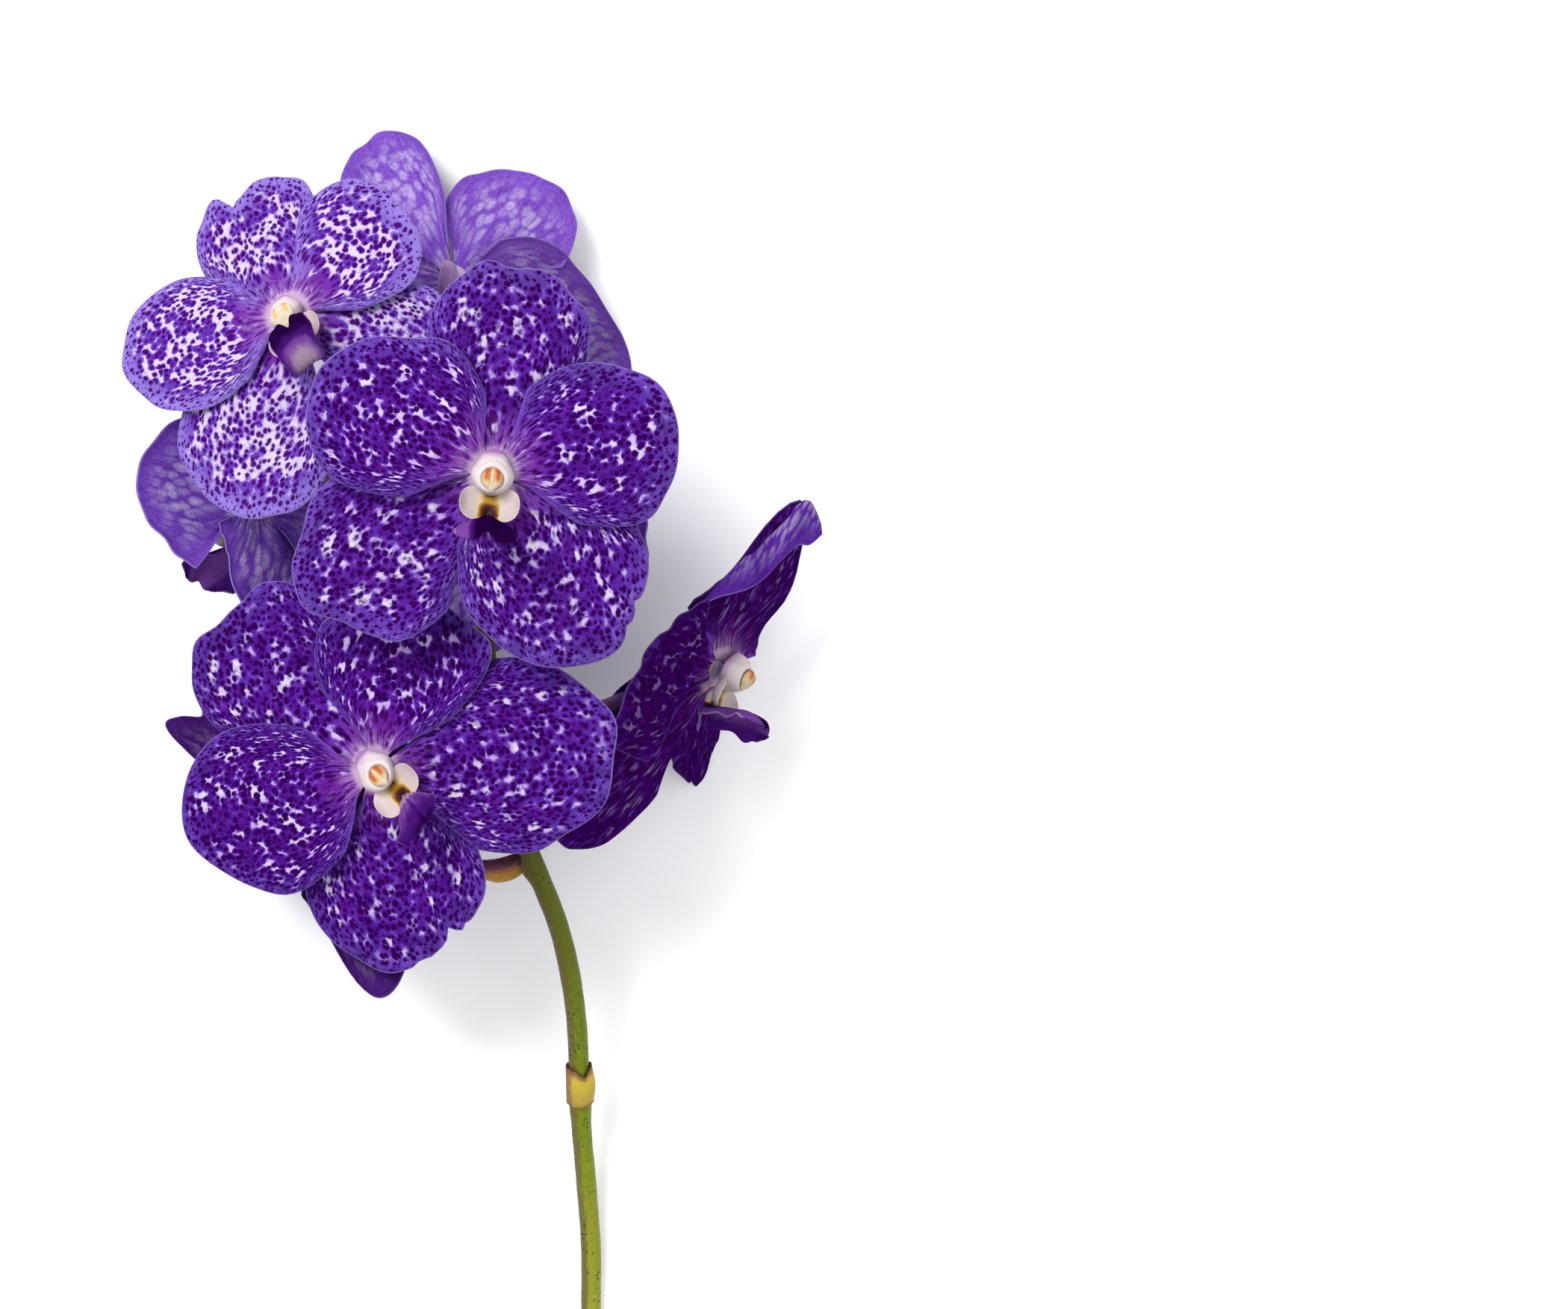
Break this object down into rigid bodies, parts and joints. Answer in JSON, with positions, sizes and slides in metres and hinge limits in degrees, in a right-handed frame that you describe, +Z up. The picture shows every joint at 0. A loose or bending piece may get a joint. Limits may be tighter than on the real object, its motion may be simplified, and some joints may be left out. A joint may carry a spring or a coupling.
{
  "type": "cut vanda orchid stem",
  "caption": "A cut orchid stem lying on a table, with large flat violet blooms spotted dark purple and pale, and a bare green stem.",
  "frame": {"origin": "bottom centre of the bounding box, on the table", "axes": "the stem's cut end is at -Y and the top of the flower head at +Y; +X is to the right with the blooms facing up; +Z is up"},
  "size_m": [0.1865, 0.3929, 0.1317],
  "materials": {
    "tepal": "soft satin",
    "column": "soft satin",
    "anther_cap": "soft satin",
    "lip_base": "soft satin",
    "lip_midlobe": "satin",
    "stem": "satin",
    "sheath": "matte"
  },
  "bodies": {
    "root": {"centre_anther_cap": "anther_cap", "centre_column": "column", "centre_lip_base": "lip_base", "centre_lip_midlobe": "lip_midlobe", "centre_tepals": "tepal", "left_anther_cap": "anther_cap", "left_column": "column", "left_lip_base": "lip_base", "left_lip_midlobe": "lip_midlobe", "left_tepals": "tepal", "lower_anther_cap": "anther_cap", "lower_column": "column", "lower_left_anther_cap": "anther_cap", "lower_left_column": "column", "lower_left_lip_base": "lip_base", "lower_left_lip_midlobe": "lip_midlobe", "lower_left_tepals": "tepal", "lower_lip_base": "lip_base", "lower_lip_midlobe": "lip_midlobe", "lower_tepals": "tepal", "right_anther_cap": "anther_cap", "right_column": "column", "right_lip_base": "lip_base", "right_lip_midlobe": "lip_midlobe", "right_rear_anther_cap": "anther_cap", "right_rear_column": "column", "right_rear_lip_base": "lip_base", "right_rear_lip_midlobe": "lip_midlobe", "right_rear_tepals": "tepal", "right_tepals": "tepal", "sheath": "sheath", "stem": "stem", "top_anther_cap": "anther_cap", "top_column": "column", "top_lip_base": "lip_base", "top_lip_midlobe": "lip_midlobe", "top_tepals": "tepal", "upper_left_anther_cap": "anther_cap", "upper_left_column": "column", "upper_left_lip_base": "lip_base", "upper_left_lip_midlobe": "lip_midlobe", "upper_left_tepals": "tepal"}
  },
  "joints": []
}
